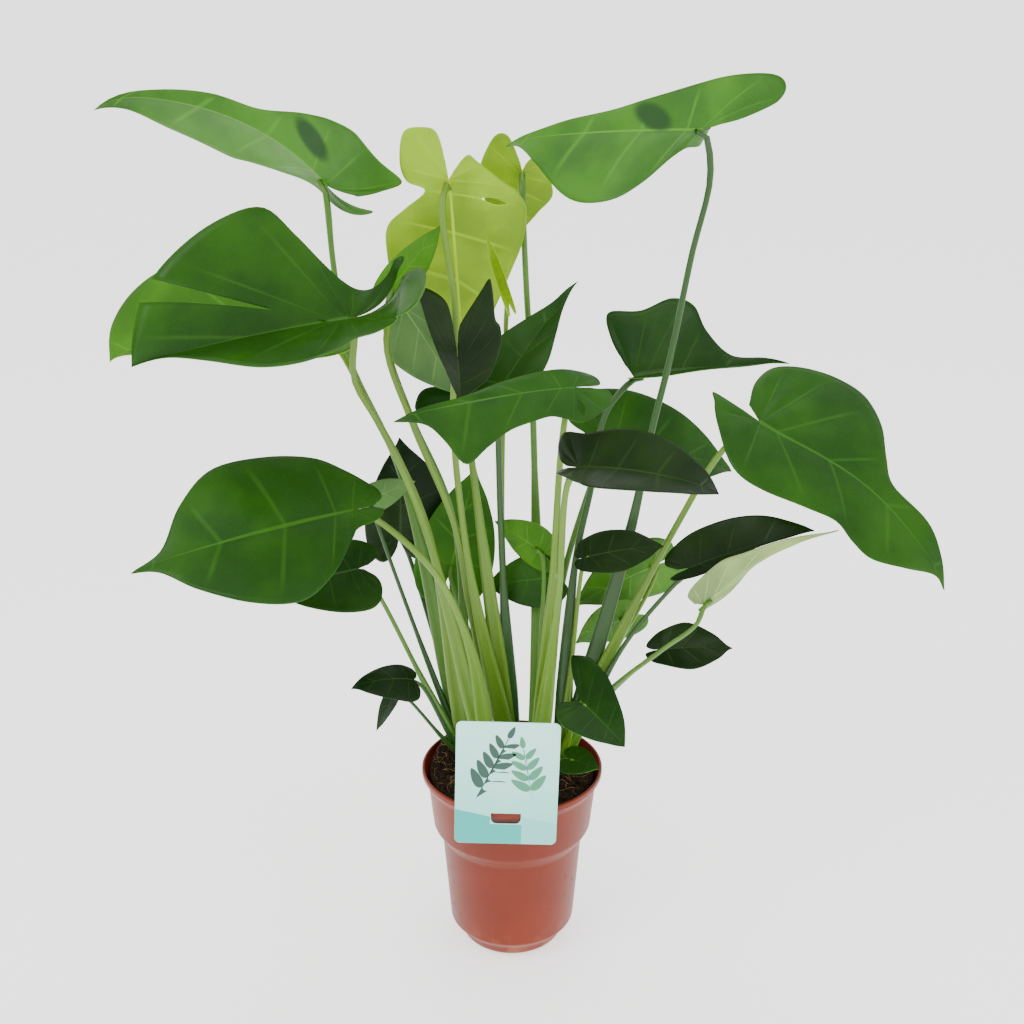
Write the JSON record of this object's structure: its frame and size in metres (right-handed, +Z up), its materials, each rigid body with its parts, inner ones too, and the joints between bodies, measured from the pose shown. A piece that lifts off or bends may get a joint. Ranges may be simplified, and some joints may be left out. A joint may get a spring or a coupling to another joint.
{
  "type": "potted swiss cheese plant",
  "caption": "Young swiss cheese plant with heart-shaped, partly split glossy leaves on sheathed stalks, grown in a stepped nursery pot of peat with a hang-on label card.",
  "frame": {"origin": "centre of the flat underside of the pot", "axes": "+Z up, -Y towards the front, where the label hangs on the pot's rim, +X to the right seen from the front"},
  "size_m": [0.8154, 0.4172, 0.8997],
  "materials": {
    "pot_plastic": "satin terracotta-coloured moulded plastic",
    "peat": "moist fibrous peat",
    "label_card": "printed plastic card",
    "stalk": "waxy leaf stalk",
    "leaf_dark": "glossy mature leaf",
    "leaf_mid": "glossy leaf",
    "leaf_young": "soft young leaf"
  },
  "bodies": {
    "root": {"blade_back_centre_lower": "leaf_mid", "blade_back_centre_upper": "leaf_young", "blade_back_left_dark": "leaf_dark", "blade_behind_front_lobe": "leaf_mid", "blade_behind_heart": "leaf_mid", "blade_centre_front": "leaf_mid", "blade_centre_heart": "leaf_dark", "blade_centre_left": "leaf_mid", "blade_centre_right": "leaf_dark", "blade_left_hanging": "leaf_dark", "blade_left_heart": "leaf_mid", "blade_left_low": "leaf_dark", "blade_left_small": "leaf_dark", "blade_mid_left": "leaf_mid", "blade_pot_right": "leaf_dark", "blade_right_front": "leaf_dark", "blade_right_inner": "leaf_mid", "blade_right_large": "leaf_mid", "blade_right_low_dark": "leaf_dark", "blade_right_low_pale": "leaf_mid", "blade_right_mid_bright": "leaf_young", "blade_right_mid_dark": "leaf_dark", "blade_right_mid_low": "leaf_mid", "blade_right_small": "leaf_dark", "blade_right_upper": "leaf_dark", "blade_rolled_new": "leaf_young", "blade_soil_right": "leaf_dark", "blade_top_left": "leaf_mid", "blade_top_right": "leaf_mid", "blade_upper_left_back": "leaf_young", "blade_upper_left_front": "leaf_mid", "blade_young_back": "leaf_young", "blade_young_front": "leaf_young", "crown_front_left": "stalk", "crown_front_right": "stalk", "crown_left": "stalk", "crown_middle": "stalk", "crown_right": "stalk", "label": "label_card", "pot": "pot_plastic", "soil": "peat"}
  },
  "joints": []
}
